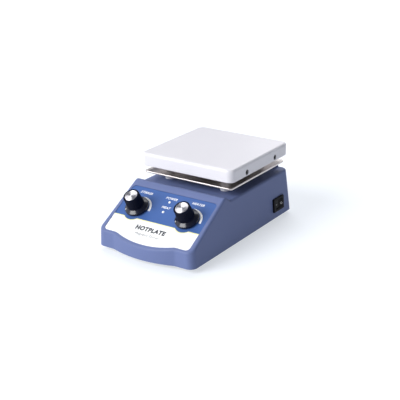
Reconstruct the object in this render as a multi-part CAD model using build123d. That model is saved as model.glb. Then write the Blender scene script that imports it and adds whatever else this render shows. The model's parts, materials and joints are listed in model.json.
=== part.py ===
from build123d import *
import os
from math import atan, atan2, cos, degrees, radians, sin, tan

# Hotplate magnetic stirrer for the laboratory bench, in millimetres.
# X is across the device (right as the user faces it), Y runs to the rear and Z is up.
# The floor is Z = 0, and the origin is the centre of the device's outline on the floor.

# ---------------------------------------------------------------- driving sizes
HOUSING_WIDTH = 125.0
HOUSING_LENGTH = 215.0
FOOT_HEIGHT = 5.0
WALL = 3.0
SIDE_DRAFT = 0.06            # inward lean of the side walls, mm per mm of height
REAR_DRAFT = 0.12
CORNER_RADIUS = 8.5
EDGE_RADIUS = 2.6
BOW_DEPTH = 7.0              # how far the middle of the front bulges
BOW_HALF = 40.0
FRONT_TOP = 23.0             # top of the low front face at its shoulders
RIDGE_BEHIND_FRONT = 67.0
RIDGE_TOP = 62.6
RIDGE_FALL = 10.0            # run of the slope behind the ridge
DECK_TOP = 56.0
RIB_HALF = 46.0
RIB_RUN = 4.0

PLATE_SIZE = 121.6
PLATE_CORNER = 7.5
PLATE_EDGE = 3.0
PLATE_CENTRE_Y = 37.0
PLATE_BOTTOM = 74.5
PLATE_TOP = 89.0
PLATE_SKIN = 5.0
PLATE_SKIRT = 4.0
SHIELD_SIZE = 115.6
SHIELD_BOTTOM = 65.6
SHIELD_TOP = 67.4
SHEET = 0.8
POST_SPACING = 74.0
POST_RADIUS = 5.5
STUD_RADIUS = 2.0

KNOB_SPACING = 66.0
KNOB_UP_SLOPE = 39.5
KNOB_POINTER = 130.0         # pointer at rest, degrees anticlockwise from straight up the panel
FIT = 0.05                   # radial clearance of every pin, screw and shaft in its hole

# ---------------------------------------------------------------- derived places
HALF_WIDTH = HOUSING_WIDTH / 2
REAR = HOUSING_LENGTH / 2
FRONT = -REAR + BOW_DEPTH
RIDGE = FRONT + RIDGE_BEHIND_FRONT
PANEL_TILT = atan2(RIDGE_TOP - FRONT_TOP, RIDGE_BEHIND_FRONT)
DECK_UNDER = DECK_TOP - WALL
BASE_THICK = 1.5
BASE_TOP = FOOT_HEIGHT + BASE_THICK
FAR = 160.0                  # beyond the housing in every direction

PANEL = Plane(origin=(0, FRONT, FRONT_TOP), x_dir=(1, 0, 0), z_dir=(0, -sin(PANEL_TILT), cos(PANEL_TILT)))
PLATE_AXIS = Pos(0, PLATE_CENTRE_Y, 0)
POST_PLACES = [
    (x * POST_SPACING / 2, PLATE_CENTRE_Y + y * POST_SPACING / 2) for x in (-1, 1) for y in (-1, 1)
]
FOOT_PLACES = [(x, y) for x in (-41.0, 41.0) for y in (-78.0, 89.0)]

NODES = {}


def node(name, *solids):
    """Keep the separate solids of one named piece or group of identical pieces."""
    pieces = [s for shape in solids for s in shape.solids()]
    NODES[name] = Compound(label=name, children=pieces) if len(pieces) > 1 else pieces[0]


def cylinder(radius, bottom, top, x=0.0, y=0.0):
    """Upright cylinder between two heights."""
    return Pos(x, y, bottom) * Cylinder(radius, top - bottom, align=(Align.CENTER, Align.CENTER, Align.MIN))


def slab(width, depth, bottom, top, x=0.0, y=0.0):
    """Upright box between two heights, centred on x and y."""
    return Pos(x, y, bottom) * Box(width, depth, top - bottom, align=(Align.CENTER, Align.CENTER, Align.MIN))


def rounded_slab(width, depth, corner, bottom, top, x=0.0, y=0.0):
    """Upright plate with rounded plan corners between two heights."""
    return Pos(x, y, bottom) * extrude(RectangleRounded(width, depth, corner), top - bottom)


def hexagon(across_flats, bottom, top, x=0.0, y=0.0):
    """Upright hexagonal prism between two heights."""
    radius = across_flats / 2 / cos(radians(30))
    return Pos(x, y, bottom) * extrude(RegularPolygon(radius, 6), top - bottom)


def pan_screw(shank, length, head, head_height, slot=0.8):
    """Slotted pan-head screw along +Z: the shank runs down from Z = 0 and the head stands on it."""
    body = cylinder(shank, -length, 0) + fillet(
        cylinder(head, 0, head_height).edges().sort_by(Axis.Z)[-1], head_height * 0.45
    )
    return body - slab(3 * head, slot, head_height * 0.5, head_height + 1)


def turned(*points):
    """Solid of revolution about Z from an outline of (radius, height) points."""
    return revolve(Plane.XZ * make_face(Polyline(*points, close=True)), Axis.Z)


# ---------------------------------------------------------------- housing shape
def plan_outline(height, inset=0.0):
    """Horizontal outline of the drafted walls at one height, moved inwards by inset."""
    half = HALF_WIDTH - SIDE_DRAFT * (height - FOOT_HEIGHT) - inset
    rear = REAR - REAR_DRAFT * (height - FOOT_HEIGHT) - inset
    front = FRONT + inset
    face = make_face([
        Line((-half, front), (-BOW_HALF, front)),
        ThreePointArc((-BOW_HALF, front), (0, front - BOW_DEPTH), (BOW_HALF, front)),
        Line((BOW_HALF, front), (half, front)),
        Line((half, front), (half, rear)),
        Line((half, rear), (-half, rear)),
        Line((-half, rear), (-half, front)),
    ])
    corners = [v for v in face.vertices() if abs(v.X) > BOW_HALF + 1]
    face = fillet(corners, CORNER_RADIUS - inset)
    blends = [v for v in face.vertices() if abs(abs(v.X) - BOW_HALF) < 0.01]
    return Pos(0, 0, height) * fillet(blends, 12)


def drafted_block(inset=0.0, bottom=FOOT_HEIGHT):
    """Walls of the housing as a solid block, up past the ridge."""
    return loft([plan_outline(bottom, inset), plan_outline(RIDGE_TOP + 10, inset)], ruled=True)


def side_profile(inset=0.0):
    """Prism of the side profile: sloped panel, ridge and deck, moved inwards by inset."""
    slope = tan(PANEL_TILT)
    face = make_face(Polyline(
        (-FAR, -FAR), (-FAR, FRONT_TOP - slope * (FRONT + FAR)), (RIDGE, RIDGE_TOP),
        (RIDGE + RIDGE_FALL, DECK_TOP), (FAR, DECK_TOP), (FAR, -FAR), close=True,
    ))
    ridge = face.vertices().sort_by_distance((RIDGE, RIDGE_TOP))[0]
    face = fillet(ridge, 5)
    valley = face.vertices().sort_by_distance((RIDGE + RIDGE_FALL, DECK_TOP))[0]
    face = fillet(valley, 4)
    if inset:
        face = offset(face, -inset)
    return extrude(Plane.YZ * face, FAR, both=True)


def rear_rib(inset=0.0):
    """Raised rib on the deck's rear edge, cut to the drafted walls."""
    rear = REAR - REAR_DRAFT * (DECK_TOP - FOOT_HEIGHT)
    start = rear - 12 + inset
    face = make_face(Polyline(
        (start, DECK_UNDER - 1), (start, DECK_TOP - inset), (start + RIB_RUN, RIDGE_TOP - inset),
        (FAR, RIDGE_TOP - inset), (FAR, DECK_UNDER - 1), close=True,
    ))
    return extrude(Plane.YZ * face, RIB_HALF - inset, both=True) & drafted_block(inset)


def rim_edges(solid):
    """Edges around the upward-facing surfaces, leaving out the creases between them."""
    tops = [f for f in solid.faces() if f.normal_at(f.center()).Z > 0.3]
    edges = [e for f in tops for e in f.edges()]
    return [e for e in edges if sum(e.is_same(other) for other in edges) == 1]


def panel_outline(inset=0.0):
    """Outline of the printed overlay on the panel; its lower edge follows the bow of the front."""
    half = 55.5 - inset
    top = 67.5 - inset
    low = 3.0 + inset
    arc_half = 38.0
    face = make_face([
        Line((-half, low), (-arc_half, low)),
        ThreePointArc((-arc_half, low), (0, low - BOW_DEPTH), (arc_half, low)),
        Line((arc_half, low), (half, low)),
        Line((half, low), (half, top)),
        Line((half, top), (-half, top)),
        Line((-half, top), (-half, low)),
    ])
    corners = [v for v in face.vertices() if abs(v.X) > arc_half + 1]
    face = fillet(corners, 4.5 - inset)
    blends = [v for v in face.vertices() if abs(abs(v.X) - arc_half) < 0.01]
    return fillet(blends, 10)


RECESS = 0.8
OVERLAY = 0.4
KNOB_PLACES = {"stir": (-KNOB_SPACING / 2, KNOB_UP_SLOPE), "heat": (KNOB_SPACING / 2, KNOB_UP_SLOPE)}
LED_PLACES = {"power": (0.0, 55.7), "heat": (0.0, 41.8)}
LED_RADIUS = 1.5
BUSHING_RADIUS = 3.5

# Rocker switch in the right wall: its plane's X runs to the rear and its Y up the wall.
SWITCH_Y = 74.0
SWITCH_Z = 20.8
SWITCH_LONG = 23.0
SWITCH_SHORT = 16.2
SWITCH_BODY_LONG = 18.8
SWITCH_BODY_SHORT = 12.6
WALL_LEAN = atan(SIDE_DRAFT)
SWITCH = Plane(
    origin=(HALF_WIDTH - SIDE_DRAFT * (SWITCH_Z - FOOT_HEIGHT), SWITCH_Y, SWITCH_Z),
    x_dir=(0, 1, 0), z_dir=(cos(WALL_LEAN), 0, sin(WALL_LEAN)),
)

# Mains inlet in the rear wall: its plane's X runs to the device's left and its Y up the wall.
INLET_Z = 30.0
INLET_BODY = 27.0
REAR_LEAN = atan(REAR_DRAFT)
INLET = Plane(
    origin=(0, REAR - REAR_DRAFT * (INLET_Z - FOOT_HEIGHT), INLET_Z),
    x_dir=(-1, 0, 0), z_dir=(0, cos(REAR_LEAN), sin(REAR_LEAN)),
)
INLET_SCREWS = 20.0

SHAFT_RADIUS = 2.0
DECK_BORE = 6.0
MOTOR_BOSS_X = 28.0
MOTOR_PLATE_TOP = 47.5
LEAD_PLACE = (0.0, PLATE_CENTRE_Y + 44.0)
LEAD_HOLE = 4.0
FOOT_SCREW = 1.75
BOSS_RADIUS = 4.5


def upper_housing():
    outer = drafted_block() & side_profile()
    outer = fillet(rim_edges(outer), EDGE_RADIUS)
    rib = rear_rib()
    rib = fillet(rib.faces().sort_by(Axis.Z)[-1].edges(), 1.6)
    shell = outer + rib - (drafted_block(WALL, FOOT_HEIGHT - 1) & side_profile(WALL)) - rear_rib(WALL)
    posts = [cylinder(BOSS_RADIUS, BASE_TOP, FAR, x, y) for x, y in FOOT_PLACES]
    posts += [
        cylinder(4.0, MOTOR_PLATE_TOP, DECK_UNDER, side * MOTOR_BOSS_X, PLATE_CENTRE_Y) for side in (-1, 1)
    ]
    shell += [post & outer for post in posts]
    holes = [cylinder(FOOT_SCREW + FIT, 0, 19, x, y) for x, y in FOOT_PLACES]
    holes += [cylinder(STUD_RADIUS + FIT, DECK_UNDER - 1, DECK_TOP + 1, x, y) for x, y in POST_PLACES]
    holes += [
        cylinder(1.5 + FIT, MOTOR_PLATE_TOP - 1, DECK_UNDER - 0.5, side * MOTOR_BOSS_X, PLATE_CENTRE_Y)
        for side in (-1, 1)
    ]
    holes.append(cylinder(DECK_BORE, DECK_UNDER - 1, DECK_TOP + 1, 0, PLATE_CENTRE_Y))
    holes.append(cylinder(LEAD_HOLE, DECK_UNDER - 1, DECK_TOP + 1, *LEAD_PLACE))
    holes.append(PANEL * extrude(panel_outline(), -RECESS))
    holes.append(PANEL * extrude(panel_outline(), 5))
    for x, y in KNOB_PLACES.values():
        holes.append(PANEL * cylinder(BUSHING_RADIUS + FIT, -6, 1, x, y))
    for x, y in LED_PLACES.values():
        holes.append(PANEL * cylinder(LED_RADIUS + FIT, -6, 1, x, y))
    holes.append(SWITCH * slab(SWITCH_BODY_LONG + 0.2, SWITCH_BODY_SHORT + 0.2, -8, 4))
    holes.append(INLET * slab(INLET_BODY + 0.2, INLET_BODY + 0.2, -8, 4))
    for side in (-1, 1):
        holes.append(INLET * cylinder(1.5 + FIT, -8, 4, side * INLET_SCREWS, 0))
    node("upper_housing", shell - holes)


# ---------------------------------------------------------------- base and feet
BOARD_PLACE = (0.0, -38.0)
BOARD_SIZE = (80.0, 62.0)
BOARD_BOTTOM = 12.5
BOARD_THICK = 1.6
BOARD_HOLES = [(x, BOARD_PLACE[1] + y) for x in (-36.0, 36.0) for y in (-27.0, 27.0)]
BOARD_SCREW = 1.5


def base_and_feet():
    plate = extrude(plan_outline(FOOT_HEIGHT, WALL + 0.3), BASE_THICK)
    holes = [cylinder(FOOT_SCREW + 0.3, 0, 10, x, y) for x, y in FOOT_PLACES]
    holes += [cylinder(BOARD_SCREW + FIT, 0, 10, x, y) for x, y in BOARD_HOLES]
    for row in range(7):
        for side in (-1, 1):
            slot = extrude(SlotOverall(26, 2.6), 10)
            holes.append(Pos(side * 17, 12 + row * 8.0, 0) * slot)
    node("base_plate", plate - holes)
    feet = []
    screws = []
    for x, y in FOOT_PLACES:
        foot = turned((0, 0), (7.0, 0), (8.0, 1.2), (8.0, FOOT_HEIGHT), (0, FOOT_HEIGHT))
        foot -= cylinder(4.0, -1, 3.0)
        foot -= cylinder(FOOT_SCREW + FIT, 0, 6)
        feet.append(Pos(x, y, 0) * foot)
        screws.append(Pos(x, y, 3.0) * (Rot(180, 0, 0) * pan_screw(FOOT_SCREW, 15, 3.4, 2.0)))
    node("rubber_feet", *feet)
    node("foot_screws", *screws)


# ---------------------------------------------------------------- control panel
POT_RADIUS = 8.5
POT_BOTTOM = -12.0
POT_SHAFT = 3.0
SHAFT_FOOT = -10.0
SHAFT_TIP = 15.0
WASHER = 0.6
NUT_TOP = 2.0
KNOB_FOOT = 0.8
KNOB_TOP = 19.8
SKIRT_RADIUS = 13.4
SKIRT_RIM = 2.6              # height of the skirt's upright rim
CONE_RADIUS = 12.9           # the skirt's cone runs from here to the barrel
CONE_FOOT = 3.1
BARREL_FOOT = 9.6            # radius of the barrel at its foot
BARREL_FOOT_Z = 5.4
BARREL_TOP = 9.0             # radius of the barrel at its shoulder
BARREL_TOP_Z = 19.3
CAP_RADIUS = 7.2
CAP_FOOT = 19.0
FLUTES = 30
FLUTE_LENGTH = 12.6
HUB_BORE = 7.6               # room under the knob for the bushing's nut


def knob():
    """Knob about its own axis: flared skirt, tapered fluted barrel, socket below and seat for the cap."""
    body = turned(
        (0, KNOB_FOOT), (SKIRT_RADIUS - 0.3, KNOB_FOOT), (SKIRT_RADIUS, KNOB_FOOT + 0.3),
        (SKIRT_RADIUS, SKIRT_RIM), (CONE_RADIUS, CONE_FOOT), (BARREL_FOOT, BARREL_FOOT_Z),
        (BARREL_TOP, BARREL_TOP_Z), (BARREL_TOP - 0.5, KNOB_TOP), (CAP_RADIUS + 0.1, KNOB_TOP),
        (CAP_RADIUS + 0.1, CAP_FOOT), (0, CAP_FOOT),
    )
    lean = degrees(atan2(BARREL_FOOT - BARREL_TOP, BARREL_TOP_Z - BARREL_FOOT_Z))
    flute = Rot(0, -lean, 0) * cylinder(0.5, 0.6, FLUTE_LENGTH)
    groove = Pos(BARREL_FOOT + 0.12, 0, BARREL_FOOT_Z) * flute
    for i in range(FLUTES):
        body -= Rot(0, 0, i * 360 / FLUTES) * groove
    body -= cylinder(HUB_BORE, -1, 4.0)
    body -= cylinder(POT_SHAFT + FIT, 0, SHAFT_TIP)
    slope = degrees(atan2(BARREL_FOOT_Z - CONE_FOOT, CONE_RADIUS - BARREL_FOOT))
    notch = Pos(CONE_RADIUS, 0, CONE_FOOT) * (Rot(0, slope, 0) * Box(3.6, 1.3, 0.7))
    return body - Rot(0, 0, 90 + KNOB_POINTER) * notch


def control_panel():
    overlay = extrude(Pos(0, 0, -RECESS) * panel_outline(0.15), OVERLAY)
    washers = []
    nuts = []
    for x, y in KNOB_PLACES.values():
        overlay -= cylinder(7.0, -2, 1, x, y)
        ring = cylinder(6.0, -RECESS, -RECESS + WASHER) - cylinder(BUSHING_RADIUS + FIT, -2, 1)
        washers.append(PANEL * (Pos(x, y, 0) * ring))
        nut = hexagon(10.0, -RECESS + WASHER, NUT_TOP) - cylinder(BUSHING_RADIUS + FIT, -2, 3)
        nuts.append(PANEL * (Pos(x, y, 0) * nut))
    for x, y in LED_PLACES.values():
        overlay -= cylinder(LED_RADIUS + FIT, -2, 1, x, y)
    node("panel_overlay", PANEL * overlay)
    node("pot_washers", *washers)
    node("pot_nuts", *nuts)
    holders = []
    for name, (x, y) in LED_PLACES.items():
        lamp = cylinder(LED_RADIUS, -6.5, -0.9) + Pos(0, 0, -0.9) * Sphere(LED_RADIUS)
        node(name + "_led", PANEL * (Pos(x, y, 0) * (lamp & cylinder(LED_RADIUS, -6.5, 3))))
        holder = cylinder(3.2, -7.5, -WALL) - cylinder(LED_RADIUS + FIT, -6.5, 0)
        holders.append(PANEL * (Pos(x, y, 0) * holder))
    node("led_holders", *holders)
    for name, (x, y) in KNOB_PLACES.items():
        pot = cylinder(POT_RADIUS, POT_BOTTOM, -WALL) + cylinder(BUSHING_RADIUS, -WALL, 2.2)
        pot += Pos(0, -POT_RADIUS, -9.0) * Box(12, 6, 1.6)
        pot -= cylinder(POT_SHAFT + FIT, SHAFT_FOOT - 0.5, 4)
        place = Pos(x, y, 0)
        node(name + "_pot_body", PANEL * (place * pot))
        node(name + "_pot_shaft", PANEL * (place * cylinder(POT_SHAFT, SHAFT_FOOT, SHAFT_TIP)))
        node(name + "_knob", PANEL * (place * knob()))
        cap = fillet(cylinder(CAP_RADIUS, CAP_FOOT, KNOB_TOP - 0.1).edges().sort_by(Axis.Z)[-1], 0.3)
        node(name + "_knob_cap", PANEL * (place * cap))


# ---------------------------------------------------------------- power switch
ROCKER_PIVOT = -1.5
ROCKER_RADIUS = 8.1
ROCKER_WIDTH = 10.0
ROCKER_TILT = 10.0
BEZEL = 2.0
TRUNNION = 1.5


def across(radius, length):
    """Cylinder along the switch plane's Y, through the rocker's pivot."""
    return Pos(0, 0, ROCKER_PIVOT) * (Rot(90, 0, 0) * Cylinder(radius, length))


def power_switch():
    body = slab(SWITCH_BODY_LONG, SWITCH_BODY_SHORT, -15, 0)
    bezel = rounded_slab(SWITCH_LONG, SWITCH_SHORT, 1.2, 0, BEZEL)
    bezel = fillet(bezel.faces().sort_by(Axis.Z)[-1].edges(), 0.7)
    well = across(ROCKER_RADIUS + 0.3, ROCKER_WIDTH + 0.6)
    pins = across(TRUNNION + FIT, ROCKER_WIDTH + 2.4)
    node("switch_body", SWITCH * (body + bezel - well - pins))
    lobes = make_face(Polyline((-9, -5), (-9, 2.3), (0, 0.9), (9, 2.3), (9, -5), close=True))
    rocker = across(ROCKER_RADIUS, ROCKER_WIDTH) & extrude(Plane.XZ * lobes, ROCKER_WIDTH, both=True)
    rocker += across(TRUNNION, ROCKER_WIDTH + 2.2)
    rocker = Pos(0, 0, ROCKER_PIVOT) * (Rot(0, -ROCKER_TILT, 0) * (Pos(0, 0, -ROCKER_PIVOT) * rocker))
    node("switch_rocker", SWITCH * rocker)
    tabs = [SWITCH * (Pos(x, 0, -18) * Box(0.8, 6.3, 6)) for x in (-6.0, 0.0, 6.0)]
    node("switch_terminals", *tabs)


# ---------------------------------------------------------------- mains inlet
FLANGE = 2.5
SOCKET_Y = 5.0
SOCKET_DEPTH = 15.0
DRAWER_Y = -9.6
DRAWER_SIZE = (23.0, 6.6)
DRAWER_DEPTH = 18.0
FUSE_RADIUS = 2.5


def socket_outline(width, height):
    """Six-sided outline of the mains connector, narrower at the top."""
    half = width / 2
    low = -height / 2
    cut = 4.5
    return make_face(Polyline(
        (-half, low), (half, low), (half, -low - cut), (half - cut, -low),
        (cut - half, -low), (-half, -low - cut), close=True,
    ))


def mains_inlet():
    flange = rounded_slab(49, 31, 6, 0, FLANGE)
    flange = fillet(flange.faces().sort_by(Axis.Z)[-1].edges(), 0.8)
    body = flange + slab(INLET_BODY, INLET_BODY, -20, 0)
    socket = Pos(0, SOCKET_Y, FLANGE - SOCKET_DEPTH) * extrude(socket_outline(23.6, 15.6), SOCKET_DEPTH + 1)
    body -= socket
    drawer_room = (DRAWER_SIZE[0] + 0.4, DRAWER_SIZE[1] + 0.4)
    body -= slab(*drawer_room, FLANGE - DRAWER_DEPTH - 0.2, FLANGE + 1, 0, DRAWER_Y)
    screws = []
    nuts = []
    for side in (-1, 1):
        body -= cylinder(1.5 + FIT, -1, FLANGE + 1, side * INLET_SCREWS, 0)
        place = Pos(side * INLET_SCREWS, 0, 0)
        screws.append(INLET * (place * (Pos(0, 0, FLANGE) * pan_screw(1.5, 9, 2.8, 1.7))))
        nuts.append(INLET * (place * (hexagon(5.5, -WALL - 2.4, -WALL) - cylinder(1.5 + FIT, -9, 0))))
    node("inlet_body", INLET * body)
    node("inlet_screws", *screws)
    node("inlet_nuts", *nuts)
    pins = []
    for x, y in ((0.0, SOCKET_Y + 2.0), (-7.0, SOCKET_Y - 2.0), (7.0, SOCKET_Y - 2.0)):
        pins.append(INLET * slab(2.0, 4.0, FLANGE - SOCKET_DEPTH, FLANGE - 3.5, x, y))
        pins.append(INLET * slab(0.8, 4.8, -27, -20, x, y))
    node("inlet_pins", *pins)
    drawer = slab(*DRAWER_SIZE, FLANGE - DRAWER_DEPTH, FLANGE + 0.8, 0, DRAWER_Y)
    drawer = fillet(drawer.faces().sort_by(Axis.Z)[-1].edges(), 0.5)
    fuse_z = FLANGE - DRAWER_DEPTH + 6
    drawer -= Pos(0, DRAWER_Y + 1.2, fuse_z) * Box(20.4, 6.4, 5.6)
    grip = Pos(0, DRAWER_Y + DRAWER_SIZE[1] / 2, FLANGE + 0.8) * Box(8, 1.6, 1.6)
    node("fuse_drawer", INLET * (drawer - grip))
    fuse = Pos(0, DRAWER_Y + 0.5, fuse_z) * (Rot(0, 90, 0) * Cylinder(FUSE_RADIUS, 20))
    node("fuse", INLET * fuse)


# ---------------------------------------------------------------- stirring drive
MOTOR_RADIUS = 18.0
MOTOR_BOTTOM = 21.0
BRACKET_THICK = 1.5
MOTOR_TOP = MOTOR_PLATE_TOP - BRACKET_THICK
CARRIER_BOTTOM = 58.0
CARRIER_TOP = 61.0
CARRIER_LENGTH = 62.0
MAGNET_RADIUS = 7.0
MAGNET_X = 22.0
MAGNET_HEIGHT = 4.0
HUB_RADIUS = 6.0


def stirring_drive():
    bracket = rounded_slab(70, 34, 5, MOTOR_TOP, MOTOR_PLATE_TOP)
    bracket -= [cylinder(1.5 + FIT, 0, 90, side * x) for side in (-1, 1) for x in (MOTOR_BOSS_X, 12.0)]
    bracket -= cylinder(5 + FIT, 0, 90)
    node("motor_bracket", PLATE_AXIS * bracket)
    can = fillet(cylinder(MOTOR_RADIUS, MOTOR_BOTTOM, MOTOR_TOP).edges().sort_by(Axis.Z)[0], 2)
    can += cylinder(5, MOTOR_TOP, 49) + cylinder(7, MOTOR_BOTTOM - 2.5, MOTOR_BOTTOM)
    can -= cylinder(SHAFT_RADIUS + FIT, MOTOR_BOTTOM + 2, 60)
    can -= [cylinder(1.5 + FIT, MOTOR_TOP - 5, MOTOR_TOP + 1, side * 12.0) for side in (-1, 1)]
    node("motor_body", PLATE_AXIS * can)
    motor_screws = [
        PLATE_AXIS * (Pos(side * 12.0, 0, MOTOR_PLATE_TOP) * pan_screw(1.5, 6, 2.75, 1.7)) for side in (-1, 1)
    ]
    node("motor_screws", *motor_screws)
    bracket_screws = [
        PLATE_AXIS * (Pos(side * MOTOR_BOSS_X, 0, MOTOR_TOP) * (Rot(180, 0, 0) * pan_screw(1.5, 6.5, 2.75, 1.7)))
        for side in (-1, 1)
    ]
    node("bracket_screws", *bracket_screws)
    node("motor_shaft", PLATE_AXIS * cylinder(SHAFT_RADIUS, MOTOR_BOTTOM + 3, CARRIER_TOP + 0.6))
    arm = extrude(SlotOverall(CARRIER_LENGTH, 17), CARRIER_TOP - CARRIER_BOTTOM)
    carrier = Pos(0, 0, CARRIER_BOTTOM) * arm + cylinder(HUB_RADIUS, CARRIER_BOTTOM - 1, CARRIER_TOP + 2.5)
    carrier -= cylinder(SHAFT_RADIUS + FIT, 50, 70)
    grub_z = CARRIER_TOP + 1.2
    grub = Pos(0, -SHAFT_RADIUS - FIT, grub_z) * (Rot(90, 0, 0) * cylinder(0.9, 0, HUB_RADIUS - SHAFT_RADIUS))
    carrier -= Pos(0, -SHAFT_RADIUS, grub_z) * (Rot(90, 0, 0) * cylinder(0.9 + FIT, 0, HUB_RADIUS))
    node("magnet_carrier", PLATE_AXIS * carrier)
    node("carrier_grub_screw", PLATE_AXIS * grub)
    magnets = [
        cylinder(MAGNET_RADIUS, CARRIER_TOP, CARRIER_TOP + MAGNET_HEIGHT, side * MAGNET_X, PLATE_CENTRE_Y)
        for side in (-1, 1)
    ]
    node("magnets", *magnets)


# ---------------------------------------------------------------- hot plate group
PAN_BOTTOM = PLATE_BOTTOM + 0.5
PAN_TOP = PAN_BOTTOM + 1.5
PAN_HALF_X = PLATE_SIZE / 2 - PLATE_SKIRT
PAN_HALF_Y = PAN_HALF_X - 0.4
PAN_CORNER = PLATE_CORNER - PLATE_SKIRT + 0.4
ELEMENT_TOP = PLATE_TOP - PLATE_SKIN
ELEMENT_BOTTOM = ELEMENT_TOP - 3
SIDE_SCREW_Y = 30.0
SIDE_SCREW_Z = PLATE_BOTTOM + 4.5
SIDE_SCREW = 1.9
SINK_RADIUS = 3.1
SINK_DEPTH = 2.2


def side_screw_places():
    """Frames of the four screws in the plate's left and right faces, with Z pointing outwards."""
    for side in (-1, 1):
        for y in (-SIDE_SCREW_Y, SIDE_SCREW_Y):
            origin = (side * PLATE_SIZE / 2, PLATE_CENTRE_Y + y, SIDE_SCREW_Z)
            yield Plane(origin=origin, x_dir=(0, 1, 0), z_dir=(side, 0, 0))


def hot_plate_group():
    plate = rounded_slab(PLATE_SIZE, PLATE_SIZE, PLATE_CORNER, PLATE_BOTTOM, PLATE_TOP)
    plate = fillet(plate.faces().sort_by(Axis.Z)[-1].edges(), PLATE_EDGE)
    plate = fillet(plate.faces().sort_by(Axis.Z)[0].edges(), 0.8)
    room = PLATE_SIZE - 2 * PLATE_SKIRT
    plate -= rounded_slab(room, room, PLATE_CORNER - PLATE_SKIRT, 0, ELEMENT_TOP)
    plate = PLATE_AXIS * plate
    pan = rounded_slab(2 * PAN_HALF_X, 2 * PAN_HALF_Y, PAN_CORNER, PAN_BOTTOM, PAN_TOP)
    for side in (-1, 1):
        pan += slab(1.5, 80, PAN_BOTTOM, PAN_BOTTOM + 6.5, side * (PAN_HALF_X - 0.75))
    pan = PLATE_AXIS * pan
    screws = []
    for place in side_screw_places():
        plate -= place * cylinder(SINK_RADIUS, -SINK_DEPTH, 1)
        plate -= place * cylinder(SIDE_SCREW + FIT, -9, 1)
        pan -= place * cylinder(SIDE_SCREW + FIT, -9, 1)
        screws.append(place * (Pos(0, 0, -SINK_DEPTH) * (Rot(0, 0, 35) * pan_screw(SIDE_SCREW, 5, 2.7, 1.6, 0.9))))
    pan -= [cylinder(STUD_RADIUS + FIT, 0, 90, x, y) for x, y in POST_PLACES]
    node("hot_plate", plate)
    node("plate_side_screws", *screws)
    node("heater_pan", pan)
    node("heating_element", PLATE_AXIS * rounded_slab(100, 100, 4, ELEMENT_BOTTOM, ELEMENT_TOP))
    pad = PLATE_AXIS * rounded_slab(102, 104, 4, PAN_TOP, ELEMENT_BOTTOM)
    node("insulation_pad", pad - [cylinder(6, 0, 90, x, y) for x, y in POST_PLACES])
    thermostat = cylinder(8, PAN_BOTTOM - 4, PAN_BOTTOM, 26, PLATE_CENTRE_Y + 20)
    thermostat += slab(26, 7, PAN_BOTTOM - 1, PAN_BOTTOM, 26, PLATE_CENTRE_Y + 20)
    node("thermostat", thermostat)


def heat_shield():
    sheet = rounded_slab(SHIELD_SIZE, SHIELD_SIZE, 4, SHIELD_BOTTOM, SHIELD_TOP)
    sheet = fillet(sheet.faces().sort_by(Axis.Z)[-1].edges(), 0.7)
    inner = SHIELD_SIZE - 2 * SHEET
    sheet -= rounded_slab(inner, inner, 3.4, 0, SHIELD_TOP - SHEET)
    sheet = PLATE_AXIS * sheet
    sheet -= [cylinder(STUD_RADIUS + FIT, 0, 90, x, y) for x, y in POST_PLACES]
    node("heat_shield", sheet - cylinder(LEAD_HOLE, 0, 90, *LEAD_PLACE))


def support_posts():
    posts = []
    spacers = []
    studs = []
    nuts = []
    for x, y in POST_PLACES:
        bore = cylinder(STUD_RADIUS + FIT, 0, 90)
        post = cylinder(POST_RADIUS, DECK_TOP, SHIELD_TOP - SHEET)
        post = fillet(post.edges().filter_by(GeomType.CIRCLE), 0.6) - bore
        posts.append(Pos(x, y, 0) * post)
        spacers.append(Pos(x, y, 0) * (cylinder(POST_RADIUS - 1, SHIELD_TOP, PAN_BOTTOM) - bore))
        studs.append(cylinder(STUD_RADIUS, 47.5, ELEMENT_BOTTOM - 0.6, x, y))
        nuts.append(hexagon(7, DECK_UNDER - 3.2, DECK_UNDER, x, y) - Pos(x, y, 0) * bore)
        nuts.append(hexagon(7, PAN_TOP, PAN_TOP + 3.2, x, y) - Pos(x, y, 0) * bore)
    node("support_posts", *posts)
    node("upper_spacers", *spacers)
    node("post_studs", *studs)
    node("post_nuts", *nuts)


def heater_leads():
    x, y = LEAD_PLACE
    sleeve = cylinder(2.5, 46, PAN_BOTTOM) - cylinder(1.7, 0, 90)
    node("lead_sleeve", Pos(x, y, 0) * sleeve)
    node("heater_wires", *[cylinder(0.75, 43.5, PAN_BOTTOM, x + side * 0.8, y) for side in (-1, 1)])
    grommet = cylinder(LEAD_HOLE - FIT, DECK_UNDER, DECK_TOP)
    grommet += cylinder(5.6, DECK_TOP, DECK_TOP + 1.2) + cylinder(5.6, DECK_UNDER - 1.2, DECK_UNDER)
    node("lead_grommet", Pos(x, y, 0) * (grommet - cylinder(2.5 + FIT, 0, 90)))


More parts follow.
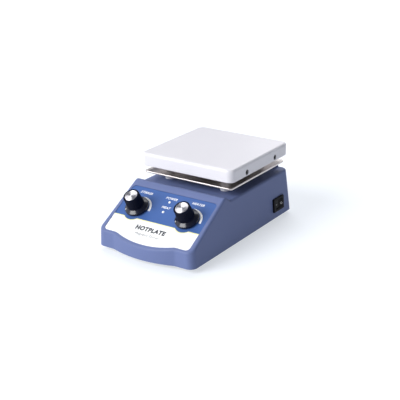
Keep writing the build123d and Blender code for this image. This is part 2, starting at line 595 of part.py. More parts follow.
# ---------------------------------------------------------------- electronics
def control_board():
    top = BOARD_BOTTOM + BOARD_THICK
    board = rounded_slab(*BOARD_SIZE, 2, BOARD_BOTTOM, top, *BOARD_PLACE)
    board -= [cylinder(BOARD_SCREW + FIT, 0, 90, x, y) for x, y in BOARD_HOLES]
    node("control_board", board)
    standoffs = [
        hexagon(5.5, BASE_TOP, BOARD_BOTTOM, x, y) - cylinder(BOARD_SCREW + FIT, 0, 90, x, y) for x, y in BOARD_HOLES
    ]
    node("board_standoffs", *standoffs)
    upper = [Pos(x, y, top) * pan_screw(BOARD_SCREW, 4.4, 2.7, 1.6) for x, y in BOARD_HOLES]
    lower = [
        Pos(x, y, FOOT_HEIGHT) * (Rot(180, 0, 0) * pan_screw(BOARD_SCREW, 4.0, 2.7, 1.6)) for x, y in BOARD_HOLES
    ]
    node("board_screws", *upper, *lower)
    core = slab(30, 24, top, top + 17, 18, -24)
    node("transformer", core + slab(18, 34, top + 2, top + 15, 18, -24))
    sink = slab(26, 2.5, top, top + 18, -16, -22)
    for i in range(6):
        sink += slab(1.6, 8, top, top + 18, -28.2 + i * 4.88, -17)
    node("triac_heatsink", sink)
    node("triac", slab(10, 4.4, top + 2, top + 17, -16, -22 - 1.25 - 2.2))
    node("capacitors", cylinder(5, top, top + 12, -28, -40), cylinder(5, top, top + 12, -14, -40))
    node("terminal_block", slab(36, 9, top, top + 9, 0, -60))


upper_housing()
base_and_feet()
control_panel()
power_switch()
mains_inlet()
stirring_drive()
hot_plate_group()
heat_shield()
support_posts()
heater_leads()
control_board()

os.makedirs("parts", exist_ok=True)
for name, shape in NODES.items():
    export_step(shape, f"parts/{name}.step")
print(len(NODES), "nodes")
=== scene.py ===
import json
from math import atan, cos, pi, radians, sin, sqrt, tan

import bmesh
import bpy
from mathutils import Matrix, Quaternion, Vector


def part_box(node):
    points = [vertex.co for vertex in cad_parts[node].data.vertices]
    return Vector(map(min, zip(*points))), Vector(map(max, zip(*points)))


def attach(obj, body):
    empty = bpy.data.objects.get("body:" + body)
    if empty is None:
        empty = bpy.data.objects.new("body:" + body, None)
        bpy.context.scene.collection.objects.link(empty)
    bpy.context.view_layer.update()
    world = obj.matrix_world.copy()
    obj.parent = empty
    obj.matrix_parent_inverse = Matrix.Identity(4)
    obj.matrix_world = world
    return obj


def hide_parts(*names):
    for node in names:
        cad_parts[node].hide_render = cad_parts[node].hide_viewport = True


# Looks of a hotplate magnetic stirrer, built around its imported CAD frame. Metres throughout.
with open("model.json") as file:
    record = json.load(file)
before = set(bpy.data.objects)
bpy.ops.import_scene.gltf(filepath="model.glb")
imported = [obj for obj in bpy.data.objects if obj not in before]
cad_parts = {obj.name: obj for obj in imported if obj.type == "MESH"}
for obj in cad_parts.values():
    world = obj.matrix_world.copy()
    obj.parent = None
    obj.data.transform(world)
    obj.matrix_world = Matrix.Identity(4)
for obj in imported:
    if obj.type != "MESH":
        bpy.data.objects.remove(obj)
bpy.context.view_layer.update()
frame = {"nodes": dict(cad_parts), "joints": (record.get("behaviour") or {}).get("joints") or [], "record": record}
NODES = frame["nodes"]
JOINTS = {joint["name"]: joint for joint in frame["joints"]}
MM = 0.001
scene = bpy.context.scene
STIR_PLACE = Vector(JOINTS["stir_speed_dial"]["pos_m"])
HEAT_PLACE = Vector(JOINTS["heat_dial_turn"]["pos_m"])
PANEL_NORMAL = -Vector(JOINTS["stir_speed_dial"]["axis"])
GRIP_FOOT = 5.5 * MM                # height over the panel at which the knobs' grips start


# ---------------------------------------------------------------- camera, floor and light
CAMERA_TARGET = Vector((0.0012, 0.0035, 0.0357))
CAMERA_DISTANCE = 1.015
CAMERA_AZIMUTH = 34.46
CAMERA_ELEVATION = 21.12
CAMERA_ROLL = -0.76
CAMERA_LENS = 81.3
ROOM_LIGHT = (0.125, 0.135, 0.16)
FLOOR_SIZE = 40
FLOOR_DROP = 0.1 * MM               # keeps the floor clear of the soles of the feet
FLOOR_COLOR = (0.48, 0.50, 0.53)
FLOOR_GLOW = (0.94, 0.97, 1.0)
FLOOR_BOUNCE = 0.40                 # strength of the glow in the light that the floor gives
FLOOR_SHOWN = 0.58                  # strength of the glow as the camera sees it
SUNS = (                            # name, direction towards it, angular size in degrees, strength
    ("front_light", (-0.38, -0.77, 0.52), 40, 3.2),
    ("rear_light", (-0.36, 0.50, 0.78), 50, 1.5),
    ("left_fill", (-0.90, -0.30, 0.20), 70, 0.9),
    ("back_fill", (0.0, 0.97, 0.22), 60, 0.7),
)


def make_camera():
    data = bpy.data.cameras.new("camera")
    data.lens = CAMERA_LENS
    camera = bpy.data.objects.new("camera", data)
    scene.collection.objects.link(camera)
    azimuth, elevation = radians(CAMERA_AZIMUTH), radians(CAMERA_ELEVATION)
    back = Vector((sin(azimuth) * cos(elevation), -cos(azimuth) * cos(elevation), sin(elevation)))
    camera.location = CAMERA_TARGET + back * CAMERA_DISTANCE
    camera.rotation_mode = "QUATERNION"
    roll = Quaternion((0, 0, 1), radians(CAMERA_ROLL))
    camera.rotation_quaternion = (-back).to_track_quat("-Z", "Y") @ roll
    scene.camera = camera


def soft_sun(name, toward, spread, strength):
    """Even light from a broad soft source that lies far away in one direction."""
    data = bpy.data.lights.new(name, "SUN")
    data.angle = radians(spread)
    data.energy = strength
    light = bpy.data.objects.new(name, data)
    scene.collection.objects.link(light)
    light.rotation_mode = "QUATERNION"
    light.rotation_quaternion = Vector(toward).to_track_quat("Z", "Y")


def make_world():
    """White surroundings for the camera, dim ones for the light that they give."""
    world = bpy.data.worlds.new("studio")
    world.use_nodes = True
    nodes, links = world.node_tree.nodes, world.node_tree.links
    mix = nodes.new("ShaderNodeMix")
    mix.data_type = "RGBA"
    path = nodes.new("ShaderNodeLightPath")
    links.new(path.outputs["Is Camera Ray"], mix.inputs["Factor"])
    colors = [socket for socket in mix.inputs if socket.type == "RGBA"]
    colors[0].default_value = (*ROOM_LIGHT, 1)
    colors[1].default_value = (1, 1, 1, 1)
    result = [socket for socket in mix.outputs if socket.type == "RGBA"][0]
    links.new(result, nodes["Background"].inputs["Color"])
    scene.world = world


def floor_paper():
    """Matt paper that looks brighter to the camera than the light that it gives."""
    paper = bpy.data.materials.new("floor_paper")
    paper.use_nodes = True
    nodes, links = paper.node_tree.nodes, paper.node_tree.links
    shader = nodes["Principled BSDF"]
    shader.inputs["Base Color"].default_value = (*FLOOR_COLOR, 1)
    shader.inputs["Roughness"].default_value = 1.0
    shader.inputs["Specular IOR Level"].default_value = 0.0
    shader.inputs["Emission Color"].default_value = (*FLOOR_GLOW, 1)
    glow = nodes.new("ShaderNodeMapRange")
    glow.inputs["To Min"].default_value = FLOOR_BOUNCE
    glow.inputs["To Max"].default_value = FLOOR_SHOWN
    path = nodes.new("ShaderNodeLightPath")
    links.new(path.outputs["Is Camera Ray"], glow.inputs["Value"])
    links.new(glow.outputs["Result"], shader.inputs["Emission Strength"])
    return paper


def make_studio():
    scene.view_settings.view_transform = "Standard"
    make_world()
    for sun in SUNS:
        soft_sun(*sun)
    bpy.ops.mesh.primitive_plane_add(size=FLOOR_SIZE, location=(0, 0, -FLOOR_DROP))
    floor = bpy.context.active_object
    floor.name = "studio_floor"
    floor.data.materials.append(floor_paper())


# ---------------------------------------------------------------- material building blocks
class Surface:
    """A node material that is built step by step around one Principled shader."""

    def __init__(self, name, roughness, metallic=0.0, coat=0.0, coat_roughness=0.1, sheen=0.0,
                 specular=0.5):
        self.material = bpy.data.materials.new(name)
        self.material.use_nodes = True
        self.tree = self.material.node_tree
        self.shader = self.tree.nodes["Principled BSDF"]
        self.set("Roughness", roughness)
        self.set("Metallic", metallic)
        self.set("Coat Weight", coat)
        self.set("Coat Roughness", coat_roughness)
        self.set("Sheen Weight", sheen)
        self.set("Specular IOR Level", specular)
        self.bump_in = None
        self.place = self.node("ShaderNodeTexCoord").outputs["Object"]

    def set(self, socket, value):
        self.shader.inputs[socket].default_value = value

    def node(self, kind, **values):
        made = self.tree.nodes.new(kind)
        for key, value in values.items():
            setattr(made, key, value)
        return made

    def link(self, source, target):
        self.tree.links.new(source, target)

    def stretched(self, scale, turn):
        """Object coordinates scaled and turned, for grain that runs one way."""
        mapping = self.node("ShaderNodeMapping")
        mapping.inputs["Scale"].default_value = scale
        mapping.inputs["Rotation"].default_value = turn
        self.link(self.place, mapping.inputs["Vector"])
        return mapping.outputs["Vector"]

    def noise(self, scale, detail=3.0, roughness=0.5, vector=None):
        made = self.node("ShaderNodeTexNoise")
        made.inputs["Scale"].default_value = scale
        made.inputs["Detail"].default_value = detail
        made.inputs["Roughness"].default_value = roughness
        self.link(vector or self.place, made.inputs["Vector"])
        return made.outputs["Fac"]

    def voronoi(self, scale):
        made = self.node("ShaderNodeTexVoronoi", feature="F1")
        made.inputs["Scale"].default_value = scale
        self.link(self.place, made.inputs["Vector"])
        return made.outputs["Distance"]

    def wave(self, scale, kind, direction, distortion):
        made = self.node("ShaderNodeTexWave", wave_type=kind)
        if kind == "BANDS":
            made.bands_direction = direction
        else:
            made.rings_direction = direction
        made.inputs["Scale"].default_value = scale
        made.inputs["Distortion"].default_value = distortion
        self.link(self.place, made.inputs["Vector"])
        return made.outputs["Fac"]

    def ramp(self, factor, *stops):
        """Colours along a factor; each stop is (position, colour)."""
        made = self.node("ShaderNodeValToRGB")
        elements = made.color_ramp.elements
        while len(elements) < len(stops):
            elements.new(0.5)
        for element, (position, color) in zip(elements, stops):
            element.position = position
            element.color = (*color, 1)
        self.link(factor, made.inputs["Fac"])
        return made.outputs["Color"]

    def scaled(self, factor, low, high):
        made = self.node("ShaderNodeMapRange")
        made.inputs["To Min"].default_value = low
        made.inputs["To Max"].default_value = high
        self.link(factor, made.inputs["Value"])
        return made.outputs["Result"]

    def math(self, operation, a, b):
        made = self.node("ShaderNodeMath", operation=operation)
        for socket, value in zip(made.inputs, (a, b)):
            if isinstance(value, (int, float)):
                socket.default_value = value
            else:
                self.link(value, socket)
        return made.outputs["Value"]

    def toward(self, factor, source, color):
        """The source's colours, moved towards one other colour by a factor."""
        made = self.node("ShaderNodeMix", data_type="RGBA")
        first, second = [socket for socket in made.inputs if socket.type == "RGBA"]
        self.link(source, first)
        second.default_value = (*color, 1)
        self.link(factor, made.inputs["Factor"])
        return [socket for socket in made.outputs if socket.type == "RGBA"][0]

    def color(self, value):
        self.link(value, self.shader.inputs["Base Color"])

    def rough(self, value):
        self.link(value, self.shader.inputs["Roughness"])

    def bump(self, height, distance, strength=1.0):
        """Add one layer of relief; distance is its depth in metres."""
        made = self.node("ShaderNodeBump")
        made.inputs["Strength"].default_value = strength
        made.inputs["Distance"].default_value = distance
        self.link(height, made.inputs["Height"])
        if self.bump_in is not None:
            self.link(self.bump_in, made.inputs["Normal"])
        self.bump_in = made.outputs["Normal"]
        self.link(self.bump_in, self.shader.inputs["Normal"])


def shade(color, factor):
    return tuple(min(1.0, c * factor) for c in color)


def mottled(surface, color, spread, scale):
    """Gentle drift of the base colour over the surface."""
    drift = surface.noise(scale, 4)
    dark, light = shade(color, 1 - spread), shade(color, 1 + spread)
    surface.color(surface.ramp(drift, (0.3, dark), (0.7, light)))


def moulded_plastic(name, color, roughness, grain=900, specular=0.5):
    """Injection-moulded plastic with a fine spark-eroded texture."""
    s = Surface(name, roughness, specular=specular)
    mottled(s, color, 0.03, 22)
    s.rough(s.scaled(s.noise(60, 3), roughness - 0.05, roughness + 0.07))
    s.bump(s.noise(grain, 2, 0.6), 0.00003, 0.5)
    s.bump(s.noise(35, 2), 0.00015, 0.08)
    return s.material


def glossy_plastic(name, color, roughness, specular=0.5):
    """Polished phenolic or nylon with faint haze and rub marks."""
    s = Surface(name, roughness, specular=specular)
    mottled(s, color, 0.12, 90)
    s.rough(s.scaled(s.noise(260, 3), roughness - 0.05, roughness + 0.08))
    s.bump(s.noise(700, 2), 0.00001, 0.3)
    return s.material


def knob_plastic(name, color, specular):
    """Phenolic with a polished skirt and a dulled grip, told apart by height over the panel."""
    s = Surface(name, 0.5, coat_roughness=0.16, specular=specular)
    mottled(s, color, 0.12, 90)
    height = s.node("ShaderNodeVectorMath", operation="DOT_PRODUCT")
    height.inputs[1].default_value = PANEL_NORMAL
    s.link(s.place, height.inputs[0])
    grip_foot = STIR_PLACE.dot(PANEL_NORMAL) + GRIP_FOOT
    skirt = s.math("LESS_THAN", height.outputs["Value"], grip_foot)
    s.link(skirt, s.shader.inputs["Coat Weight"])
    s.rough(s.scaled(s.noise(260, 3), 0.46, 0.6))
    s.bump(s.noise(700, 2), 0.00001, 0.3)
    return s.material


def printed_film(name, color):
    """Screen-printed polycarbonate film with a velvet surface."""
    s = Surface(name, 0.38, specular=0.25)
    mottled(s, color, 0.025, 40)
    s.rough(s.scaled(s.noise(120, 2), 0.33, 0.44))
    s.bump(s.noise(2600, 1), 0.00001, 0.35)
    return s.material


def ink(name, color):
    """Opaque screen ink, faintly uneven."""
    s = Surface(name, 0.42)
    mottled(s, color, 0.02, 300)
    s.bump(s.noise(2200, 1), 0.000008, 0.3)
    return s.material


def enamel(name, color):
    """Fired ceramic enamel: slight orange peel under a clear gloss."""
    s = Surface(name, 0.3, coat=0.1, coat_roughness=0.12, specular=0.3)
    mottled(s, color, 0.012, 18)
    s.rough(s.scaled(s.noise(45, 4), 0.27, 0.38))
    s.bump(s.noise(240, 2), 0.00006, 0.18)
    s.bump(s.noise(900, 2), 0.00002, 0.2)
    return s.material


def brushed_sheet(name, color, roughness, tint=None):
    """Brushed metal sheet; a tint adds patches of heat colour."""
    s = Surface(name, roughness, metallic=1.0)
    lines = s.noise(60, 4, 0.6, s.stretched((1, 60, 1), (0, 0, 0)))
    base = s.ramp(lines, (0.25, shade(color, 0.86)), (0.75, shade(color, 1.08)))
    if tint:
        base = s.toward(s.scaled(s.noise(26, 3), 0.1, 0.75), base, tint)
    s.color(base)
    s.rough(s.scaled(lines, roughness - 0.07, roughness + 0.1))
    s.bump(lines, 0.00002, 0.35)
    return s.material


def plated_metal(name, color, roughness):
    """Plated or ground metal with fine random scratches."""
    s = Surface(name, roughness, metallic=1.0)
    mottled(s, color, 0.06, 150)
    scratches = s.noise(900, 3, 0.6, s.stretched((1, 0.15, 1), (0.3, 0.2, 0.5)))
    s.rough(s.scaled(scratches, roughness - 0.08, roughness + 0.12))
    s.bump(scratches, 0.00001, 0.4)
    return s.material


def spun_metal(name, color):
    """Metal disc turned about its own Z; its circular lay spreads highlights in a bow tie."""
    s = Surface(name, 0.3, metallic=1.0)
    s.set("Anisotropic", 0.9)
    s.set("Anisotropic Rotation", 0.25)
    tangent = s.node("ShaderNodeTangent", direction_type="RADIAL", axis="Z")
    s.link(tangent.outputs["Tangent"], s.shader.inputs["Tangent"])
    rings = s.wave(5200, "RINGS", "Z", 0.4)
    s.color(s.ramp(rings, (0.2, shade(color, 0.93)), (0.8, shade(color, 1.03))))
    s.rough(s.scaled(s.noise(700, 2), 0.38, 0.5))
    s.bump(rings, 0.000006, 0.5)
    return s.material


def moulded_rubber(name, color):
    s = Surface(name, 0.75)
    mottled(s, color, 0.2, 200)
    s.rough(s.scaled(s.noise(400, 3), 0.66, 0.85))
    s.bump(s.voronoi(1500), 0.00004, 0.4)
    return s.material


def powder_coat(name, color, metallic=0.0):
    s = Surface(name, 0.55, metallic=metallic)
    mottled(s, color, 0.05, 70)
    s.rough(s.scaled(s.noise(300, 2), 0.46, 0.62))
    s.bump(s.noise(1100, 2), 0.00005, 0.4)
    return s.material


def woven(name, color, pitch):
    """Two crossing sets of strands, for braid and fibre pad."""
    s = Surface(name, 0.85, sheen=0.3)
    one = s.wave(pitch, "BANDS", "X", 0.6)
    other = s.wave(pitch, "BANDS", "Z", 0.6)
    weave = s.math("MAXIMUM", one, other)
    s.color(s.ramp(weave, (0.3, shade(color, 0.72)), (0.85, shade(color, 1.05))))
    s.rough(s.scaled(weave, 0.95, 0.75))
    s.bump(weave, 0.0002, 0.6)
    return s.material


def circuit_board(name, color):
    """Solder mask over a rectangular maze of tracks."""
    s = Surface(name, 0.35, coat=0.3)
    brick = s.node("ShaderNodeTexBrick")
    brick.inputs["Scale"].default_value = 120
    brick.inputs["Color1"].default_value = (*shade(color, 0.8), 1)
    brick.inputs["Color2"].default_value = (*shade(color, 1.3), 1)
    brick.inputs["Mortar"].default_value = (*shade(color, 1.9), 1)
    s.link(s.place, brick.inputs["Vector"])
    s.color(brick.outputs["Color"])
    s.rough(s.scaled(s.noise(200, 2), 0.3, 0.45))
    s.bump(brick.outputs["Fac"], 0.00003, 0.5)
    return s.material


def mica(name, color):
    s = Surface(name, 0.45, coat=0.3)
    flakes = s.voronoi(320)
    s.color(s.ramp(flakes, (0.1, shade(color, 0.7)), (0.6, color), (1.0, shade(color, 1.3))))
    s.rough(s.scaled(flakes, 0.3, 0.6))
    s.bump(flakes, 0.00005, 0.5)
    return s.material


def lamp_lens(name, color):
    """Diffused epoxy lens with a soft glow inside."""
    s = Surface(name, 0.25, coat=0.6)
    mottled(s, color, 0.02, 500)
    s.set("Emission Color", (*color, 1))
    s.set("Emission Strength", 0.25)
    s.set("Subsurface Weight", 0.2)
    s.set("Subsurface Radius", (0.001, 0.001, 0.001))
    s.rough(s.scaled(s.noise(900, 2), 0.2, 0.32))
    return s.material


def clear_glass(name):
    s = Surface(name, 0.05)
    s.set("Transmission Weight", 0.9)
    s.set("IOR", 1.46)
    s.color(s.ramp(s.noise(200, 2), (0.3, (0.84, 0.88, 0.88)), (0.7, (0.92, 0.95, 0.95))))
    s.rough(s.scaled(s.noise(500, 2), 0.03, 0.09))
    return s.material


FINISHES = {
    "housing_blue": lambda n: moulded_plastic(n, (0.137, 0.176, 0.35), 0.5, specular=0.25),
    "overlay_blue": lambda n: printed_film(n, (0.057, 0.127, 0.36)),
    "black_plastic": lambda n: knob_plastic(n, (0.0013, 0.003, 0.015), 0.09),
    "black_nylon": lambda n: moulded_plastic(n, (0.003, 0.003, 0.006), 0.4, 1400, specular=0.08),
    "spun_aluminium": lambda n: spun_metal(n, (0.80, 0.78, 0.81)),
    "white_ceramic": lambda n: enamel(n, (0.745, 0.732, 0.775)),
    "steatite": lambda n: enamel(n, (0.88, 0.87, 0.88)),
    "stainless": lambda n: brushed_sheet(n, (0.74, 0.71, 0.71), 0.3, tint=(0.60, 0.53, 0.50)),
    "steel_zinc": lambda n: plated_metal(n, (0.66, 0.66, 0.67), 0.28),
    "steel_black": lambda n: plated_metal(n, (0.05, 0.048, 0.05), 0.3),
    "sheet_steel": lambda n: powder_coat(n, (0.20, 0.21, 0.23)),
    "rubber_black": lambda n: moulded_rubber(n, (0.014, 0.014, 0.015)),
    "brass_contact": lambda n: plated_metal(n, (0.72, 0.55, 0.24), 0.22),
    "lamp_white": lambda n: lamp_lens(n, (0.93, 0.94, 0.92)),
    "pcb_green": lambda n: circuit_board(n, (0.02, 0.13, 0.05)),
    "motor_steel": lambda n: powder_coat(n, (0.40, 0.40, 0.42), 0.9),
    "carrier_aluminium": lambda n: brushed_sheet(n, (0.70, 0.71, 0.73), 0.32),
    "magnet_nickel": lambda n: plated_metal(n, (0.62, 0.60, 0.56), 0.18),
    "heater_mica": lambda n: mica(n, (0.38, 0.30, 0.19)),
    "fibre_white": lambda n: woven(n, (0.72, 0.70, 0.64), 900),
    "sleeve_glass": lambda n: woven(n, (0.70, 0.67, 0.58), 1300),
    "wire_red": lambda n: glossy_plastic(n, (0.35, 0.02, 0.015), 0.35),
    "fuse_glass": clear_glass,
    "wound_parts": lambda n: moulded_plastic(n, (0.03, 0.03, 0.035), 0.5),
    "terminal_green": lambda n: moulded_plastic(n, (0.03, 0.22, 0.09), 0.45),
}


def finish_cad_nodes():
    """Give every CAD node its slot's finish; the rocker has its own, without the knobs' coat."""
    made = {name: build(name) for name, build in FINISHES.items()}
    own = {"switch_rocker": glossy_plastic("rocker_plastic", (0.003, 0.003, 0.005), 0.35, 0.12)}
    for part in frame["record"]["subparts"]:
        data = NODES[part["node"]].data
        data.materials.clear()
        data.materials.append(own.get(part["node"], made[part["material_slot"]]))
    return made


# ---------------------------------------------------------------- piece building blocks
CAPITAL_SHARE = 0.7                 # height of a capital as a share of the font's size
LETTER_SPACING = 1.12


def add_piece(name, data, body, material, matrix):
    piece = bpy.data.objects.new(name, data)
    scene.collection.objects.link(piece)
    data.materials.clear()
    data.materials.append(material)
    piece.matrix_world = matrix
    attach(piece, body)
    return piece


def curve_mesh(curve, name):
    """The mesh of a curve or text, for a piece that is then independent of it."""
    holder = bpy.data.objects.new(name + "_curve", curve)
    scene.collection.objects.link(holder)
    shown = holder.evaluated_get(bpy.context.evaluated_depsgraph_get())
    data = bpy.data.meshes.new_from_object(shown)
    data.name = name
    bpy.data.objects.remove(holder)
    return data


def outline_mesh(name, loops, thickness):
    """Flat printed shape of closed loops in the XY plane; a loop inside another is a hole."""
    curve = bpy.data.curves.new(name, "CURVE")
    curve.dimensions = "2D"
    curve.fill_mode = "BOTH"
    curve.extrude = thickness / 2
    for points in loops:
        spline = curve.splines.new("POLY")
        spline.points.add(len(points) - 1)
        for target, (x, y) in zip(spline.points, points):
            target.co = (x, y, 0, 1)
        spline.use_cyclic_u = True
    return curve_mesh(curve, name)


def text_mesh(name, words, height, thickness, slant, weight):
    """Plain letters centred on the origin; weight is how far their outlines are moved out."""
    curve = bpy.data.curves.new(name, "FONT")
    curve.body = words
    curve.size = height / CAPITAL_SHARE
    curve.align_x = "CENTER"
    curve.align_y = "CENTER"
    curve.space_character = LETTER_SPACING
    curve.shear = slant
    curve.offset = weight
    curve.extrude = thickness / 2
    curve.resolution_u = 4
    return curve_mesh(curve, name)


def lathe_mesh(name, profile, steps=96):
    """Solid turned about Z from (radius, height) points; a radius of 0 closes it on the axis."""
    bm = bmesh.new()
    rings = []
    for radius, height in profile:
        if radius == 0:
            rings.append([bm.verts.new((0, 0, height))])
        else:
            angles = [2 * pi * i / steps for i in range(steps)]
            rings.append([bm.verts.new((radius * cos(a), radius * sin(a), height)) for a in angles])
    for low, high in zip(rings, rings[1:]):
        for i in range(steps):
            j = (i + 1) % steps
            corners = [low[i % len(low)], low[j % len(low)]]
            corners += [high[j % len(high)], high[i % len(high)]]
            bm.faces.new(list(dict.fromkeys(corners)))
    bmesh.ops.recalc_face_normals(bm, faces=bm.faces)
    data = bpy.data.meshes.new(name)
    bm.to_mesh(data)
    bm.free()
    data.shade_smooth()
    data.set_sharp_from_angle(angle=radians(20))
    return data


def basis(origin, x_axis, z_axis):
    """Matrix of a local frame from its origin and its X and Z directions."""
    z = Vector(z_axis).normalized()
    x = Vector(x_axis).normalized()
    y = z.cross(x)
    matrix = Matrix((x, y, z)).transposed().to_4x4()
    matrix.translation = Vector(origin)
    return matrix


# ---------------------------------------------------------------- control panel print
# The panel's frame has its origin midway between the dials, X to the right and Y up the slope.
PANEL = basis((STIR_PLACE + HEAT_PLACE) / 2, HEAT_PLACE - STIR_PLACE, PANEL_NORMAL)
DIAL_X = (HEAT_PLACE - STIR_PLACE).length / 2
FILM_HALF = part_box("panel_overlay")[1].x
FILM_TOP_GAP = 0.4 * MM             # the film lies this far below the panel's face
INK = 0.05 * MM
FILM_LOW = -36.35 * MM              # straight ends of the film's lower edge
FILM_CORNER = 4.3 * MM
FILM_BOW = 7.0 * MM                 # depth and half width of the bow in that edge
BOW_HALF = 37.85 * MM
BOW_BLEND = 2.2 * MM                # length over which the bow runs out at each end
BOW_STEPS = 48
BAND_TOP = -14.5 * MM               # upper edge of the white band
STRIPE_WIDTH = 1.0 * MM
DIP_X = 33.5 * MM                   # the band's dips under the dials
DIP_HALF = 8.4 * MM
DIP_DEPTH = 3.5 * MM
DIP_TIP = 1.2 * MM
DIP_STEPS = 24
PRINT_MARGIN = 0.12 * MM            # bare rim of the film around the print


def arc_points(centre, radius, start, end, count):
    """Points of an arc between two angles, in degrees anticlockwise from X."""
    angles = [radians(start + (end - start) * i / (count - 1)) for i in range(count)]
    return [(centre[0] + radius * cos(a), centre[1] + radius * sin(a)) for a in angles]


def film_lower_edge(inset):
    """The film's lower edge from right to left: rounded corner, flat, bow, flat, rounded corner."""
    half = FILM_HALF - inset
    low = FILM_LOW + inset
    corner_x, corner_y = half - FILM_CORNER, low + FILM_CORNER
    bow_radius = (BOW_HALF ** 2 + FILM_BOW ** 2) / (2 * FILM_BOW)
    centre_y = low - FILM_BOW + bow_radius
    points = arc_points((corner_x, corner_y), FILM_CORNER, 0, -90, 9)
    for i in range(BOW_STEPS + 1):
        x = BOW_HALF * (1 - 2 * i / BOW_STEPS)
        sag = centre_y - sqrt(bow_radius ** 2 - x ** 2)
        ease = max(0.0, abs(x) - BOW_HALF + BOW_BLEND) / BOW_BLEND
        points.append((x, sag + (low - sag) * ease * 0.3 - 0.25 * MM * ease))
    return points + arc_points((-corner_x, corner_y), FILM_CORNER, -90, -180, 9)


def band_upper_edge(rise=0.0):
    """The white band's upper edge from left to right, dipping below each dial."""
    top = BAND_TOP + rise
    radius = (DIP_HALF ** 2 + DIP_DEPTH ** 2) / (2 * DIP_DEPTH)
    points = []
    for centre in (-DIP_X, DIP_X):
        points.append((centre - DIP_HALF - DIP_TIP, top))
        for i in range(DIP_STEPS + 1):
            x = DIP_HALF * (2 * i / DIP_STEPS - 1)
            points.append((centre + x, top + radius - DIP_DEPTH - sqrt(radius ** 2 - x ** 2)))
        points.append((centre + DIP_HALF + DIP_TIP, top))
    return points


def crescent(start, end, inner, thin, thick, count=48):
    """Level mark around a dial that widens clockwise between two angles in degrees from the top."""
    outer, inside = [], []
    for i in range(count):
        angle = radians(start + (end - start) * i / (count - 1))
        radius = inner + thin + (thick - thin) * i / (count - 1)
        outer.append((radius * sin(angle), radius * cos(angle)))
        inside.append((inner * sin(angle), inner * cos(angle)))
    return outer + inside[::-1]


def print_piece(name, data, ink_material, x=0.0, y=0.0, height=INK / 2):
    """Put a print on the film; height is that of the print's middle over the film."""
    matrix = PANEL @ Matrix.Translation((x, y, height - FILM_TOP_GAP))
    add_piece(name, data, "housing", ink_material, matrix)


def print_panel():
    white = ink("ink_white", (0.96, 0.965, 0.97))
    yellow = ink("ink_yellow", (0.90, 0.90, 0.36))
    dark = ink("ink_dark", (0.03, 0.035, 0.045))
    right, left = FILM_HALF - PRINT_MARGIN, PRINT_MARGIN - FILM_HALF
    top = [(left, BAND_TOP)] + band_upper_edge() + [(right, BAND_TOP)]
    band = film_lower_edge(PRINT_MARGIN) + top
    print_piece("band_print", outline_mesh("band_print", [band], INK), white)
    stripe_top = BAND_TOP + STRIPE_WIDTH
    stripe = top + [(right, stripe_top)]
    stripe += band_upper_edge(STRIPE_WIDTH)[::-1] + [(left, stripe_top)]
    print_piece("band_stripe", outline_mesh("band_stripe", [stripe], INK), yellow)
    for name, side in (("stir_level_print", -1), ("heat_level_print", 1)):
        mark = crescent(-95, 93, 13.9 * MM, 0.2 * MM, 2.9 * MM)
        print_piece(name, outline_mesh(name, [mark], INK), white, side * DIAL_X)
    # name, words, place on the panel, capital height, slant and weight, with the lengths in mm
    captions = (
        ("stir_words", "STIRRER", -33.8, 21.4, 2.8, 0.22, 0.09),
        ("heat_words", "HEATER", 34.0, 21.9, 2.8, 0.22, 0.09),
        ("power_words", "POWER", 0.0, 21.1, 2.8, 0.22, 0.09),
        ("heating_words", "HEAT", 0.0, 8.3, 2.8, 0.22, 0.09),
    )
    titles = (
        ("title_words", "HOTPLATE", -0.6, -24.0, 5.0, 0.06, 0.4),
        ("kind_words", "Magnetic Stirrer", -0.6, -31.4, 2.9, 0.06, 0.0),
    )
    # the captions lie on the film, the titles on the white band
    for group, material, lift in ((captions, white, INK / 2), (titles, dark, INK * 1.5)):
        for name, text, x, y, height, slant, weight in group:
            data = text_mesh(name, text, height * MM, INK, slant, weight * MM)
            print_piece(name, data, material, x * MM, y * MM, lift)


# ---------------------------------------------------------------- dials
POINTER = 130                       # degrees anticlockwise from the top at rest
CONE_RADIUS = 12.9 * MM             # radius and height of the foot of the skirt's cone
CONE_FOOT = 3.1 * MM
CONE_SLOPE = atan(2.3 / 3.3)
NOTCH_DEPTH = 0.35 * MM
CAP_RADIUS = 7.2 * MM
CAP_LOW = 19.0 * MM                 # heights over the panel
CAP_HIGH = 19.7 * MM
CAP_BEVEL = 0.25 * MM
CAP_GROOVE = 0.08 * MM


def dial_frame(place):
    return basis(place, PANEL.col[0].xyz, PANEL_NORMAL)


def spin_cap(name, body, place, node, material):
    """Turned disc that closes the end of a knob: bevelled rim, fine groove and flat face."""
    groove_floor = CAP_HIGH - CAP_GROOVE
    profile = [
        (0, CAP_LOW), (CAP_RADIUS, CAP_LOW), (CAP_RADIUS, CAP_HIGH - CAP_BEVEL),
        (CAP_RADIUS - CAP_BEVEL, CAP_HIGH), (CAP_RADIUS - 0.9 * MM, CAP_HIGH),
        (CAP_RADIUS - 1.0 * MM, groove_floor), (CAP_RADIUS - 1.2 * MM, groove_floor),
        (CAP_RADIUS - 1.3 * MM, CAP_HIGH), (0, CAP_HIGH),
    ]
    data = lathe_mesh(name, profile)
    piece = add_piece(name, data, body, material, dial_frame(place))
    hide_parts(node)


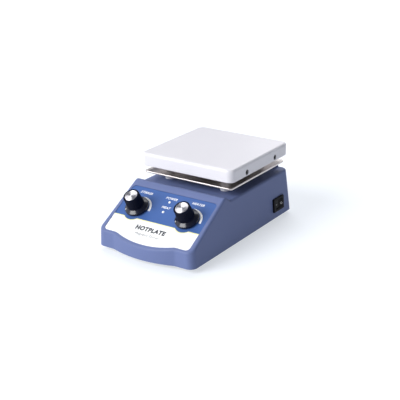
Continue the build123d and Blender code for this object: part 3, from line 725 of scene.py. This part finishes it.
def pointer_mark(name, body, place):
    """White paint on the floor of the notch in the knob's cone."""
    matrix = (
        dial_frame(place)
        @ Matrix.Rotation(radians(90 + POINTER), 4, "Z")
        @ Matrix.Translation((CONE_RADIUS, 0, CONE_FOOT))
        @ Matrix.Rotation(CONE_SLOPE, 4, "Y")
        @ Matrix.Translation((0, 0, INK - NOTCH_DEPTH))
    )
    low, high = -1.5 * MM, 0.3 * MM
    half_width = 0.5 * MM
    loop = [(low, -half_width), (high, -half_width), (high, half_width), (low, half_width)]
    paint = ink(name + "_paint", (0.93, 0.93, 0.92))
    add_piece(name, outline_mesh(name, [loop], INK), body, paint, matrix)


# ---------------------------------------------------------------- switch marks
REST_TILT = radians(-10)
LOBE_SLOPE = atan(1.4 / 9.0)        # the rocker rises from its middle to each end
LOBE_FOOT = 2.4 * MM                # height of the rocker's middle over its pivot
MARK_ALONG = 4.6 * MM               # distance of a mark from the middle
MARK_THICKNESS = 0.08 * MM
RING_RADII = (1.45 * MM, 1.0 * MM)
RING_STEPS = 40
BAR_HALF = (1.3 * MM, 0.24 * MM)


def mark_rocker():
    """On and off symbols on the two lobes of the rocker."""
    joint = JOINTS["power_rocker"]
    to_rear = Vector((0, 1, 0))
    outward = to_rear.cross(Vector(joint["axis"])).normalized()
    frame_matrix = basis(joint["pos_m"], to_rear, outward) @ Matrix.Rotation(REST_TILT, 4, "Y")
    white = ink("rocker_paint", (0.88, 0.88, 0.87))
    last = 360 - 360 / RING_STEPS
    ring = [arc_points((0, 0), radius, 0, last, RING_STEPS) for radius in RING_RADII]
    x, y = BAR_HALF
    bar = [(-x, -y), (x, -y), (x, y), (-x, y)]
    rise = LOBE_FOOT + MARK_ALONG * tan(LOBE_SLOPE)
    for name, side, loops in (("rocker_off_mark", 1, ring), ("rocker_on_mark", -1, [bar])):
        place = Matrix.Translation((side * MARK_ALONG, 0, rise))
        matrix = frame_matrix @ place @ Matrix.Rotation(-side * LOBE_SLOPE, 4, "Y")
        data = outline_mesh(name, loops, MARK_THICKNESS)
        add_piece(name, data, "rocker", white, matrix)


# ---------------------------------------------------------------- the whole scene
make_camera()
make_studio()
cap_finish = finish_cad_nodes()["spun_aluminium"]
print_panel()
spin_cap("stir_cap_disc", "stir_dial", STIR_PLACE, "stir_knob_cap", cap_finish)
spin_cap("heat_cap_disc", "heat_dial", HEAT_PLACE, "heat_knob_cap", cap_finish)
pointer_mark("stir_pointer", "stir_dial", STIR_PLACE)
pointer_mark("heat_pointer", "heat_dial", HEAT_PLACE)
mark_rocker()
